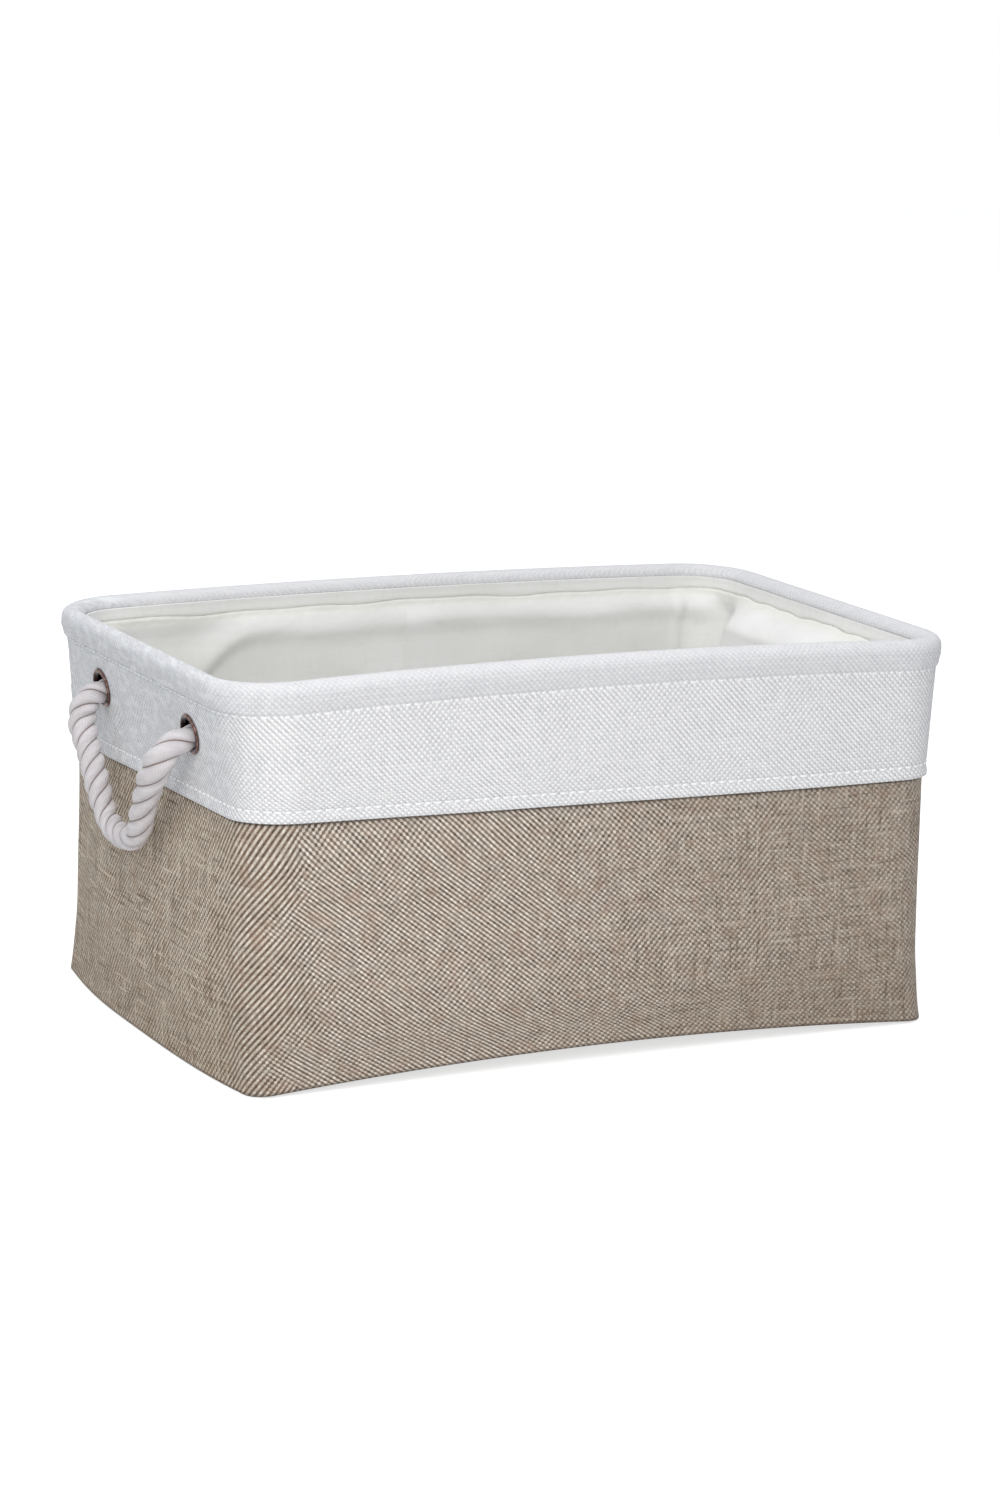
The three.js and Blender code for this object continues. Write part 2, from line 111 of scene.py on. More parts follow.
class Field:
    """A value or colour that varies over a surface: one output of a material's nodes."""

    def __init__(self, tree, socket=None):
        self.tree = tree
        self.socket = socket

    def node(self, kind, settings=None, inputs=None, output=0):
        made = self.tree.nodes.new(kind)
        for name, value in (settings or {}).items():
            setattr(made, name, value)
        for name, value in (inputs or {}).items():
            if isinstance(value, Field):
                self.tree.links.new(value.socket, made.inputs[name])
            else:
                made.inputs[name].default_value = value
        return Field(self.tree, made.outputs[output])

    def math(self, operation, *others):
        return self.node("ShaderNodeMath", {"operation": operation}, dict(enumerate((self, *others))))

    def __add__(self, other):
        return self.math("ADD", other)

    def __sub__(self, other):
        return self.math("SUBTRACT", other)

    def __rsub__(self, other):
        return self.node("ShaderNodeMath", {"operation": "SUBTRACT"}, {0: other, 1: self})

    def __mul__(self, other):
        return self.math("MULTIPLY", other)

    def __truediv__(self, other):
        return self.math("DIVIDE", other)

    def __pow__(self, other):
        return self.math("POWER", other)

    def __abs__(self):
        return self.math("ABSOLUTE")

    __radd__ = __add__

    def step(self, low, high):
        """0 below low and 1 above high, with a smooth rise between them."""
        return self.node(
            "ShaderNodeMapRange", {"interpolation_type": "SMOOTHSTEP"},
            {"Value": self, "From Min": low, "From Max": high},
        )

    def blend(self, low, high):
        """From colour low at 0 to colour high at 1."""
        colours = [c if isinstance(c, Field) else (*c, 1) for c in (low, high)]
        return self.node(
            "ShaderNodeMix", {"data_type": "RGBA"}, {0: self, 6: colours[0], 7: colours[1]}, output=2,
        )

    def tinted(self, *tints):
        """This colour moved towards others in turn, each by a share, which may vary."""
        result = self
        for colour, share in tints:
            result = share.blend(result, colour)
        return result


def new_finish(name, **constants):
    """A new material, the start of its nodes and its Principled shader."""
    material = bpy.data.materials.new(name)
    material.use_nodes = True
    shader = material.node_tree.nodes["Principled BSDF"]
    for socket, value in constants.items():
        shader.inputs[socket.replace("_", " ")].default_value = value
    return material, Field(material.node_tree), shader


def dress(shader, start, colour, roughness=None, height=None, depth=0.0003, strength=1.0):
    """Feeds what varies into a Principled shader; height is the relief, depth its size in metres."""
    links = start.tree.links
    links.new(colour.socket, shader.inputs["Base Color"])
    if roughness is not None:
        links.new(roughness.socket, shader.inputs["Roughness"])
    if height is not None:
        bump = start.node("ShaderNodeBump", {}, {"Height": height, "Distance": depth, "Strength": strength})
        links.new(bump.socket, shader.inputs["Normal"])


def surface_coordinates(start):
    """How far across and along the cloth or rope a point lies, in millimetres."""
    uv = start.node("ShaderNodeUVMap", {"uv_map": "cloth"})
    across = start.node("ShaderNodeSeparateXYZ", {}, {0: uv})
    return across, Field(start.tree, across.socket.node.outputs[1])


def noise(start, x, y, z=0.0, scale=1.0, detail=2.0, roughness=0.5):
    where = start.node("ShaderNodeCombineXYZ", {}, {0: x, 1: y, 2: z})
    return start.node(
        "ShaderNodeTexNoise", {},
        {"Vector": where, "Scale": scale, "Detail": detail, "Roughness": roughness},
    )


def new_piece(name, points, faces, material, corners=None):
    """A piece from points in millimetres and faces, with the corners' places on its cloth."""
    mesh = bpy.data.meshes.new(name)
    mesh.from_pydata((np.asarray(points) * millimetre).tolist(), [], faces)
    if corners is not None:
        layer = mesh.uv_layers.new(name="cloth")
        layer.data.foreach_set("uv", np.asarray(corners, float).ravel())
    mesh.polygons.foreach_set("use_smooth", [True] * len(mesh.polygons))
    mesh.materials.append(material)
    mesh.update()
    piece = bpy.data.objects.new(name, mesh)
    scene.collection.objects.link(piece)
    return piece


def run_along(line):
    """How far along a line each of its points lies."""
    return np.concatenate([[0], np.cumsum(np.linalg.norm(np.diff(line, axis=0), axis=1))])


def smooth_line(points, spacing):
    """A smooth line through points, with new points on it at an even spacing."""
    points = np.asarray(points, float)
    at = run_along(points)
    slopes = np.gradient(points, at, axis=0)
    fine = np.linspace(0, at[-1], 40 * len(points))
    k = np.clip(np.searchsorted(at, fine, side="right") - 1, 0, len(at) - 2)
    h = (at[k + 1] - at[k])[:, None]
    t = (fine - at[k])[:, None] / h
    line = (
        (2 * t**3 - 3 * t**2 + 1) * points[k] + (t**3 - 2 * t**2 + t) * h * slopes[k]
        + (3 * t**2 - 2 * t**3) * points[k + 1] + (t**3 - t**2) * h * slopes[k + 1]
    )
    run = run_along(line)
    even = np.linspace(0, run[-1], round(run[-1] / spacing) + 1)
    return np.stack([np.interp(even, run, line[:, j]) for j in range(3)], axis=1)


def tube_faces(across, along):
    """Faces between rows of points that run round a tube, and the places of their corners on the cloth.
    Each row of places ends with its first point again."""
    rows, count = across.shape[0], across.shape[1] - 1
    faces, corners = [], []
    for k in range(rows - 1):
        for j in range(count):
            n = (j + 1) % count
            faces.append((k * count + j, k * count + n, (k + 1) * count + n, (k + 1) * count + j))
            corners += [(across[i], along[i]) for i in ((k, j), (k, j + 1), (k + 1, j + 1), (k + 1, j))]
    return faces, corners


def laid_rope(name, line, material, thickness=1.0):
    """Three twisted strands along a line of even spacing."""
    run = run_along(line)
    ahead = np.gradient(line, axis=0)
    ahead /= np.linalg.norm(ahead, axis=1)[:, None]
    side = np.cross(ahead[0], (0.3, 0.2, 0.93))
    theta = np.arange(rope_sides) * 2 * math.pi / rope_sides
    lobe = (theta + math.pi / 3) % (2 * math.pi / 3) - math.pi / 3
    reach = strand_offset * np.cos(lobe) + np.sqrt(strand_radius**2 - (strand_offset * np.sin(lobe)) ** 2)
    lay = back_lay + (front_lay - back_lay) * np.clip(run / run[-1] * 3 - 1, 0, 1)
    twist = np.concatenate([[0], np.cumsum(np.diff(run) * 2 * math.pi / lay[1:])])
    points = []
    for k, (middle, forward) in enumerate(zip(line, ahead)):
        side = side - forward * (side @ forward)
        side = side / np.linalg.norm(side)
        other = np.cross(forward, side)
        angle = theta + twist[k]
        plump = 1 + 0.03 * math.sin(run[k] / 6.1 + line[0][1]) + 0.035 * np.sin(theta + run[k] / 9.7)
        size = (reach * plump * np.broadcast_to(thickness, len(run))[k])[:, None]
        points.append(middle + size * (np.cos(angle)[:, None] * side + np.sin(angle)[:, None] * other))
    faces, corners = tube_faces(
        *np.broadcast_arrays(3 * np.arange(rope_sides + 1) / rope_sides, run[:, None]),
    )
    for first, turn in ((0, -1), ((len(line) - 1) * rope_sides, 1)):
        faces.append([first + j for j in range(rope_sides)][::turn])
        corners += [(0, 0)] * rope_sides
    return new_piece(name, np.concatenate(points), faces, material, corners)


# The cotton is off-white with a lilac cast; painted shade darkens it to brown where the strands meet.
# Fine yarns run almost along the rope, because they are twisted the other way inside each strand.
cotton, start, shader = new_finish("twisted cotton", Roughness=0.92, Sheen_Weight=0.25, Sheen_Roughness=0.6)
around_rope, along_rope = surface_coordinates(start)
groove = abs(around_rope - around_rope.math("ROUND")) * 2
yarn_phase = around_rope * (29 / 3) + along_rope * 1.1
yarns = (yarn_phase * (2 * math.pi)).math("SINE")
fuzz = noise(start, around_rope * 10, along_rope * 0.7, scale=1.3, detail=4, roughness=0.7)
patches = noise(start, around_rope * 3, along_rope * 0.16)
rope_colour = patches.step(0.3, 0.7).blend((0.63, 0.595, 0.615), (0.74, 0.71, 0.73)).tinted(
    ((0.46, 0.37, 0.35), (yarns * 0.5 + 0.5) * 0.14 + fuzz.step(0.5, 0.8) * 0.2),
    # Painted shade: the grooves between the strands are darkened, brown at their edges and nearly black deep
    # in.
    ((0.30, 0.22, 0.19), groove.step(0.55, 0.95) * 0.15),
    ((0.13, 0.075, 0.06), groove.step(0.86, 0.99) * 0.85),
)
relief = yarns * 0.2 + fuzz * 0.7 - groove.step(0.8, 1.0) * 1.2
dress(shader, start, colour=rope_colour, height=relief, depth=0.0004, strength=0.6)

both_legs = [(*place, 1) for place in back_leg] + [(*place, -1) for place in front_leg[-2::-1]]
outs, downs, shares, backs = np.array(both_legs).T
rope_y, rope_z = handle_shift + backs * shares * eyelet_spacing / 2, eyelet_height - downs
for end, side in ends:
    line = smooth_line(np.stack([side * (wall_at_eyelets + outs), rope_y, rope_z], axis=1), spacing=0.9)
    past_eyelet = np.clip((np.abs(line[:, 0]) - wall_at_eyelets - 1) / 5, 0, 1)
    down = eyelet_height - line[:, 2]
    towards_front = np.clip((handle_shift + 18 - line[:, 1]) / 30, 0, 1) * np.clip((45 - down) / 15, 0, 1)
    # The strands are drawn together in the bore and round the loop's bottom, and open past the flange.
    slack = 0.14 * np.exp(-(((down - 17) / 11) ** 2)) + 0.04 * towards_front
    slack = slack - 0.06 * np.clip((down - 42) / 12, 0, 1)
    fullness = bore_fullness + (hanging_fullness + slack - bore_fullness) * past_eyelet
    rope = laid_rope(f"{end}_rope_handle", line, cotton, fullness)
    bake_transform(rope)
    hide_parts(f"{end}_handle_rope", f"{end}_front_rope_pass", f"{end}_back_rope_pass")

# Knots: each rope end is tied in an overhand knot behind the lining, which keeps it from pulling out.
# The knot is drawn tight, so the rope in it is squeezed thinner.
knot_middle = 14.4
knot_reach, knot_depth = 5.8, 4.2
wall_lean = math.radians(10.49)
legs_of_handle = (("front", -1), ("back", 1))
backwards = np.array((0, 1, 0))


def eyelet_seat(side, leg):
    """The middle of an eyelet's hole, on the wall's outer face."""
    return np.array((side * wall_at_eyelets, handle_shift + leg * eyelet_spacing / 2, eyelet_height))


for end, side in ends:
    out = np.array((side * math.cos(wall_lean), 0, -math.sin(wall_lean)))
    rise = np.array((side * math.sin(wall_lean), 0, math.cos(wall_lean)))
    for place, leg in legs_of_handle:
        seat = eyelet_seat(side, leg)
        loops = [
            seat - out * (knot_middle - knot_depth * math.sin(3 * t))
            + (2 + math.cos(3 * t)) * knot_reach / 3 * (math.cos(2 * t) * rise + math.sin(2 * t) * backwards)
            for t in np.linspace(0.2, 2 * math.pi - 0.9, 26)
        ]
        lead = [seat - out * 4.8 - rise * 1.2, seat - out * 7.6 - rise * 0.6]
        tail = [seat - out * 11 - rise * 9, seat - out * 10.5 - rise * 20]
        line = smooth_line([*lead, *loops, *tail], spacing=1.2)
        knot = laid_rope(f"{end}_{place}_rope_knot", line, cotton, thickness=0.8)
        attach(knot, "rim")
        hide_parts(f"{end}_{place}_knot")

# Lower wall: a strip of beige faux linen, a plain weave of heathered brown and cream yarns, sewn into a
# tube round the body with one seam at the back. Its bottom edge is turned under and sewn to the bottom
# panel, and its top edge is lapped by the white band.
base_length, base_width = 371, 254
body_height = 36
seam_height, folded_seam_height = 127, 42
hem_centre_height = 190.2
rim_length, rim_width = 400, 250
front_bow, back_bow, base_arch = 4.8, 3, 7.5
lap = 1.8
end_belly = 6
plan_heights = np.array((0, body_height, seam_height, hem_centre_height))
plan_lengths = np.array((374.6, 373.1, 373, 396.4))
plan_widths = np.array((257.6, 260.6, 258.5, 246.4))
plan_corners = np.array((14.3, 23.8, 24, 34.2))
plan_bellies = np.array((end_belly, end_belly * (1 - body_height / seam_height), 0, 0))
front_columns, end_columns, corner_columns = 150, 84, 16
fabric_thickness = 1.5


def smooth(t):
    t = np.clip(t, 0, 1)
    return t * t * (3 - 2 * t)


def plan(z, values):
    """One of the plan's sizes at heights z, with the changes of slope eased over a few millimetres."""
    slope = (values[-1] - values[-2]) / (plan_heights[-1] - plan_heights[-2])
    ease = np.clip(np.minimum(z, plan_heights[-1] - z), 0, 6)
    steps = [np.interp(z + k * ease, plan_heights, values) * w for k, w in ((-1, 0.25), (0, 0.5), (1, 0.25))]
    return sum(steps) + np.maximum(z - plan_heights[-1], 0) * slope


def plan_columns():
    """Shares of the straight sides and the way outwards, for each column round the bin. They start at
    the back seam and run by the left end, the front and the right end back to it."""
    quarter = math.pi / 2
    parts = [
        (np.linspace(0, -1, front_columns // 2), 1, quarter),
        (-1, 1, np.linspace(quarter, 2 * quarter, corner_columns)),
        (-1, np.linspace(1, -1, end_columns), 2 * quarter),
        (-1, -1, np.linspace(2 * quarter, 3 * quarter, corner_columns)),
        (np.linspace(-1, 1, front_columns), -1, 3 * quarter),
        (1, -1, np.linspace(3 * quarter, 4 * quarter, corner_columns)),
        (1, np.linspace(-1, 1, end_columns), 4 * quarter),
        (1, 1, np.linspace(0, quarter, corner_columns)),
        (np.linspace(1, 0, front_columns // 2), 1, quarter),
    ]
    stacked = [np.stack(np.broadcast_arrays(*part), axis=1)[:-1] for part in parts]
    return np.concatenate(stacked).T


share_x, share_y, outward = plan_columns()


def drape(x, y, z, inset=0):
    """The rim bows up along its long sides, the base's long edges are drawn up, and the band's lower
    edge is drawn up towards the front left corner. The lining hangs clear of that."""
    along = np.maximum(0, 1 - (2 * x / rim_length) ** 2)
    back_share = 0.5 + y / rim_width
    rise = along * (front_bow * (1 - back_share) + back_bow * back_share)
    above = smooth((z - seam_height) / (hem_centre_height - seam_height))
    near_edge = smooth((np.abs(y) - (base_width / 2 - 50)) / 50)
    arch = base_arch * np.maximum(0, 1 - (2 * x / base_length) ** 2) * near_edge
    below = smooth(1 - z / 34)
    forward = np.clip(-2 * y / plan_widths[2], -1, 1)
    drawn_up = np.where(forward > 0, 0.42 + 0.58 * forward**3, 0.42 * smooth(1 + forward / 0.6))
    skew = (0.6 + 4.7 * np.clip(0.5 - x / plan_lengths[2], 0, 1) ** 1.5) * drawn_up
    near_seam = smooth(1 - np.abs(z - seam_height) / 22) * (inset < 4)
    return np.stack([x, y, z + rise * above + arch * below + skew * near_seam], axis=-1)


def unevenness(x, y, z):
    """How far the handmade walls stand out or in, up to about a millimetre."""
    u = np.where(np.abs(y) > 110, x, y * 1.3 + 70)
    slow = 0.38 * np.sin(u / 41 + 1.1 + z / 90) * np.sin(z / 36 + 0.5 + u / 260)
    quick = 0.16 * np.sin(u / 15 + z / 21 + 0.4) + 0.12 * np.sin(u / 23 - z / 13 + 2)
    return (slow + quick) * smooth(z / 20) * smooth((190 - z) / 20)


def left_bulge(x, y, z, inset):
    """The cloth and board of the left end stand out below the band, fully so at the front corner. The
    lining hangs clear of them."""
    size = (2 + 4.5 * smooth(z / 45)) * smooth((154 - z) / 44)
    return size * smooth((-x - 95) / 65) * smooth((125 - y) / 90) * smooth((5.5 - inset) / 1.5)


def round_the_bin(insets, heights, stand=None):
    """Points of rows round the bin at these insets and heights, and how far each lies along its row
    from the middle of the front. stand gives what a point stands out by."""
    insets, z = np.broadcast_arrays(np.asarray(insets, float), np.asarray(heights, float))
    insets, z = insets[:, None], z[:, None]
    a, b, r = plan(z, plan_lengths) / 2, plan(z, plan_widths) / 2, plan(z, plan_corners)
    belly = plan(np.minimum(z, seam_height), plan_bellies)
    corner = np.maximum(r - insets, 0.3)
    cx, cy = a - insets - corner, b - insets - corner
    x, y = cx * share_x + corner * np.cos(outward), cy * share_y + corner * np.sin(outward)
    z = np.broadcast_to(z, x.shape)
    out = belly * np.maximum(0, 1 - np.abs(y / (b - r)) ** 3) * smooth((np.abs(x) - cx) / corner)
    x = x + np.sign(x) * out - left_bulge(x, y, z, insets)
    proud = unevenness(x, y, z) + (0 if stand is None else stand(x, y, z))
    x, y = x + proud * np.cos(outward), y + proud * np.sin(outward)
    points = drape(x, y, z, insets)
    steps = np.linalg.norm(np.diff(np.concatenate([points, points[:, :1]], axis=1), axis=1), axis=2)
    run = np.concatenate([np.zeros((len(points), 1)), np.cumsum(steps, axis=1)], axis=1)
    middle = 2 * (front_columns // 2 + corner_columns) + end_columns - 4
    return points, run - (run[:, middle - 1:middle] + run[:, middle:middle + 1]) / 2


def hoop(name, insets, heights, thickness, material, stand=None, wander=None):
    """A cloth tube from rows that run round the bin, with its outer face where the rows are. wander
    gives how far the top edge's rows stray from their height, which the cloth's pattern follows."""
    points, across = round_the_bin(insets, heights, stand)
    rows, count = points.shape[:2]
    rises = np.hypot(np.diff(np.broadcast_to(insets, rows)), np.diff(heights))
    below_top = np.concatenate([np.cumsum(rises[::-1])[::-1], [0]])
    levels = heights[-1] - below_top[:, None] + np.zeros((rows, count))
    if wander is not None:
        levels = levels - wander(points[..., 0], points[..., 1]) * smooth((levels - heights[-1] + 16) / 8)
    faces, corners = tube_faces(across, np.concatenate([levels, levels[:, :1]], axis=1))
    piece = new_piece(name, points.reshape(-1, 3), faces, material, corners)
    thicken(piece, thickness)
    return piece


def apply_modifiers(piece):
    bpy.ops.object.select_all(action="DESELECT")
    piece.select_set(True)
    bpy.context.view_layer.objects.active = piece
    for modifier in list(piece.modifiers):
        bpy.ops.object.modifier_apply(modifier=modifier.name)
    piece.select_set(False)


def thicken(piece, thickness):
    modifier = piece.modifiers.new("thickness", "SOLIDIFY")
    modifier.thickness = thickness * millimetre
    modifier.offset = -1
    apply_modifiers(piece)


def plain_weave(start, across, along, warp_pitch, weft_pitch, lean, streak=0.1):
    """Height of a plain weave, how far the warp shows, a tint for the yarn that shows, and how deep the
    hollows between the yarns are, which the colours use for painted shade. Tension draws the floats
    together along one diagonal, fully at a lean of 1 and along the other at -1."""
    warp, weft = across / warp_pitch, along / weft_pitch
    warp_number, weft_number = warp.math("FLOOR"), weft.math("FLOOR")
    off_warp, off_weft = warp - warp_number - 0.5, weft - weft_number - 0.5
    side = (warp_number + weft_number).math("FLOORED_MODULO", 2) * 2 - 1
    warp_wave, weft_wave = ((off * math.pi).math("COSINE") for off in (off_warp, off_weft))
    warp_round, weft_round = (
        (1 - off * off * 4.2).math("MAXIMUM", 0) ** 0.5 for off in (off_warp, off_weft)
    )
    warp_top = warp_round + side * weft_wave * 0.7
    weft_top = weft_round - side * warp_wave * 0.7
    falling, rising = ((both * math.pi).math("COSINE") for both in (warp + weft, warp - weft))
    lines = (falling + rising) * 0.5 * lean
    height = warp_top.math("MAXIMUM", weft_top) + lines * 0.3
    top = (side * warp_wave * weft_wave + lines).step(-0.45, 0.45)
    warp_tint = noise(start, warp_number * 7.31, along * streak, detail=3, roughness=0.65)
    weft_tint = noise(start, across * streak, weft_number * 5.77, z=40.0, detail=3, roughness=0.65)
    tint = warp_tint * top + weft_tint * (1 - top)
    return height, top, tint, 1 - height.step(0.2, 1.1)


linen, start, shader = new_finish(
    "beige faux linen", Roughness=0.92, Sheen_Weight=0.04, Sheen_Roughness=0.5,
)
across, along = surface_coordinates(start)
leaning = across + along * 0.246
pull = noise(start, across * 0.03, along * 0.03, z=20.0)
strayed = across + (pull - 0.5) * 90
at_corner = strayed.step(-225, -205) * strayed.step(-150, -180)
by_corner = strayed.step(-175, -150) * across.step(40, -80)
lean = (pull - 0.5) * 1.6 + by_corner * 0.4 - at_corner * 0.95
height, warp_shows, tint, hollow_shade = plain_weave(start, leaning, along, 1.631, 1.481, lean)
rightness = across.step(-90, 165) * (1 - across.step(430, 600) * 0.8)
at_end = across.step(-185, -215) * across.step(-460, -420)
heathered = rightness.math("MAXIMUM", at_end * 1.5)
dyed = noise(start, across * 0.09, along * 0.11, z=7.0, detail=3.0, roughness=0.6)
upright = noise(start, across * 0.5, along * 0.035, z=11.0, detail=3.0, roughness=0.75)
level = noise(start, across * 0.035, along * 0.5, z=31.0, detail=3.0, roughness=0.75)
slub = upright.math("MAXIMUM", level)
thin = upright.math("MINIMUM", level)
cream_yarn = tint.step(0.25, 0.75).blend((0.56, 0.475, 0.395), (0.94, 0.865, 0.78))
brown_yarn = tint.step(0.25, 0.75).blend((0.06, 0.035, 0.022), (0.28, 0.20, 0.14))
under_band = abs(along - (seam_height - 0.4))
puckers = across / 2.35
puckers = abs(puckers - puckers.math("ROUND"))
linen_colour = (warp_shows * (1 - rightness * 0.36) + rightness * 0.18).blend(brown_yarn, cream_yarn).tinted(
    ((0.38, 0.22, 0.15), dyed.step(0.45, 0.80) * 0.4),
    ((0.42, 0.40, 0.35), dyed.step(0.5, 0.20) * 0.35),
    # Painted shade in the hollows between the yarns, and darker thin places in the yarns.
    ((0.06, 0.04, 0.025), hollow_shade * 0.45 + thin.step(0.46, 0.30) * (0.2 + heathered * 0.4)),
    ((0.78, 0.69, 0.57), slub.step(0.54, 0.72) * (0.15 + heathered * 0.6)),
    # Painted shade: the cloth is darker towards the right, at the front left corner and towards the bottom.
    ((0.16, 0.10, 0.05), rightness * 0.28 + at_corner * 0.13 + along.step(70, 10) * 0.09),
    # Painted light: the front's left part is a little lighter.
    ((0.80, 0.73, 0.66), by_corner * 0.035),
    # Painted light: the left end's cloth takes a warmer cast.
    ((0.40, 0.28, 0.12), at_end * 0.16),
    # Painted shade along the turned bottom edge.
    ((0.05, 0.03, 0.02), along.step(2.2, 0.6) * 0.6),
    # Painted shade under the band's lower edge, with darker dots of thread 2.35 mm apart.
    ((0.045, 0.03, 0.02), under_band.step(1.1, 0.3) * (0.9 - puckers)),
)
dress(shader, start, colour=linen_colour, height=height + tint * 0.5, depth=0.0003, strength=0.8)

turn_steps = np.linspace(math.pi / 2, 0, 6)[:-1]
turn_radius = 1.1
edge_inset = 1.2
turn_insets = edge_inset + turn_radius * (1 - np.cos(turn_steps))
turn_heights = turn_radius * (1 - np.sin(turn_steps))
wall_heights = np.concatenate([
    np.linspace(turn_radius, 10, 8), np.linspace(12.5, 121, 44), np.linspace(122, 130, 17), [134, 137],
])
wall_insets = lap - (lap - edge_inset) * np.exp(-(wall_heights - turn_radius) / 6)


def wall_stand(x, y, z):
    """The band's stitches draw the wall in along the band's edge."""
    return -0.7 * np.exp(-(((z - seam_height + 0.4) / 0.9) ** 2))


lower_wall = hoop(
    "linen_lower_wall", [*turn_insets, *wall_insets], [*turn_heights, *wall_heights], fabric_thickness,
    linen, wall_stand,
)
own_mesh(lower_wall)
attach(lower_wall, "base")
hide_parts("lower_wall")

# Lower stiffener: the sheet behind the lower wall that keeps it standing. It is carried by the base, as the
# wall is.
def solid_noise(start, scale, detail):
    """Noise through a piece, for a finish that doesn't follow a cloth."""
    place = start.node("ShaderNodeTexCoord", output=3)
    return start.node("ShaderNodeTexNoise", {}, {"Vector": place, "Scale": scale, "Detail": detail})


def refinish(name, material):
    """Gives a piece that comes with the frame its finish."""
    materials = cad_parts[name].data.materials
    materials.clear()
    materials.append(material)


board, start, shader = new_finish("stiffening board", Roughness=0.85)
grain = solid_noise(start, scale=900.0, detail=4.0)
board_colour = grain.step(0.35, 0.65).blend((0.55, 0.53, 0.48), (0.66, 0.64, 0.60))
dress(shader, start, colour=board_colour, height=grain, depth=0.0001, strength=0.4)
lower_stiffener = hoop("board_lower_stiffener", 3.7, np.linspace(4, 136, 24), 1.4, board)
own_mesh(lower_stiffener)
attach(lower_stiffener, "base")
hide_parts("lower_stiffener")
refinish("upper_stiffener", board)
refinish("base_stiffener", board)

# Bottom panel: a rectangle of the same beige cloth, sewn all round to the lower wall's turned edge.
panel_shares = np.linspace(1, 0.02, 34)


def lying_sheet(name, inset, bottom, thickness, material, stand=None):
    """A sheet that fills the plan inside an inset, seen from below as from above."""
    rim, _ = round_the_bin([inset], [0.0])
    rim = rim[0]
    level = np.full(len(rim), float(bottom))
    points = np.concatenate([drape(rim[:, 0] * share, rim[:, 1] * share, level) for share in panel_shares])
    if stand is not None:
        points[:, 2] += stand(points[:, 0], points[:, 1])
    count = len(rim)
    faces = [
        (k * count + j, (k + 1) * count + j, (k + 1) * count + (j + 1) % count, k * count + (j + 1) % count)
        for k in range(len(panel_shares) - 1) for j in range(count)
    ]
    faces.append([(len(panel_shares) - 1) * count + j for j in range(count)][::-1])
    corners = [tuple(points[i][:2]) for face in faces for i in face]
    piece = new_piece(name, points, faces, material, corners)
    thicken(piece, thickness)
    return piece


bottom_panel = lying_sheet(
    "linen_bottom_panel", edge_inset + turn_radius + 0.2, 0.05, fabric_thickness, linen,
)
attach(bottom_panel, "base")
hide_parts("bottom_panel")

# Upper band: a strip of white faux linen in the same plain weave, lapped over the lower wall. Its lower
# edge is turned up inside and sewn through a few millimetres above it.
def white_cloth(name, drawn, shade, contrast, rolled_contrast, left_end_shade_below):
    """White faux linen: how far its floats are drawn together, its painted shade, its yarns' contrast, also
    where the hem's cloth is rolled over the wire, and below which the left end gets more painted shade."""
    finish, start, shader = new_finish(name, Roughness=0.88, Sheen_Weight=0.15, Sheen_Roughness=0.5)
    across, along = surface_coordinates(start)
    pull = noise(start, across * 0.025, along * 0.03, z=20.0)
    lean = (pull - 0.35) * drawn
    leaning = across + along * 0.062
    height, warp_shows, tint, hollow_shade = plain_weave(start, leaning, along, 1.538, 1.56, lean)
    woven = along.step(168, 158) * (contrast - rolled_contrast) + rolled_contrast
    streaks = noise(start, across * 0.45, along * 0.06, z=11.0, detail=3.0, roughness=0.7)
    grain = noise(start, across * 0.4, along * 0.7, z=15.0, detail=3.0, roughness=0.75)
    thin_yarn = tint.step(0.3, 0.7).blend((0.59, 0.585, 0.61), (0.73, 0.725, 0.74))
    full_yarn = tint.step(0.3, 0.7).blend((0.90, 0.885, 0.88), (0.97, 0.955, 0.95))
    mottled = noise(start, across * 0.14, along * 0.2, z=3.0)
    at_end = across.step(-185, -215) * across.step(-450, -420)
    left_end_shade = along.step(left_end_shade_below, left_end_shade_below - 3) * 0.4
    colour = (warp_shows * woven + (1 - woven) * 0.55).blend(thin_yarn, full_yarn).tinted(
        # Painted shade in the hollows between the yarns.
        ((0.36, 0.37, 0.40), hollow_shade * 0.4 * woven),
        # Painted shade: the cloth is greyed by its shade share, as well as by streaks of heather.
        ((0.55, 0.555, 0.60), streaks.step(0.45, 0.7) * 0.16 + shade),
        # Painted shade on the left end: a blue-grey cast, patchy with the grain and deeper low on the hem,
        # and a faint one all over.
        ((0.41, 0.47, 0.56), at_end * (grain.step(0.42, 0.68) * 0.42 + left_end_shade) + 0.02),
        ((0.97, 0.98, 1.0), mottled.step(0.42, 0.68) * at_end * 0.4),
    )
    dress(shader, start, colour=colour, height=(height + tint * 0.3) * woven, depth=0.0003, strength=0.8)
    return finish


linen_white = white_cloth(
    "white faux linen", drawn=1.8, shade=0.0, contrast=1.0, rolled_contrast=1.0, left_end_shade_below=0,
)
band_stitch_height = seam_height + 6
hem_bottom = 179.5
hole_radius = 7.3


def band_stand(x, y, z):
    """The edge is thicker where it is turned up, the stitches draw it in, and the left end has a small
    dent beside its back eyelet."""
    edge = 0.5 * smooth((seam_height + 4.5 - z) / 3)
    drawn = 0.55 * np.exp(-(((z - band_stitch_height) / 1.3) ** 2))
    dent = 2 * np.exp(-(((y - 35) / 6.5) ** 2) - ((z - 151) / 8) ** 2) * (x < 0)
    return edge - drawn - dent


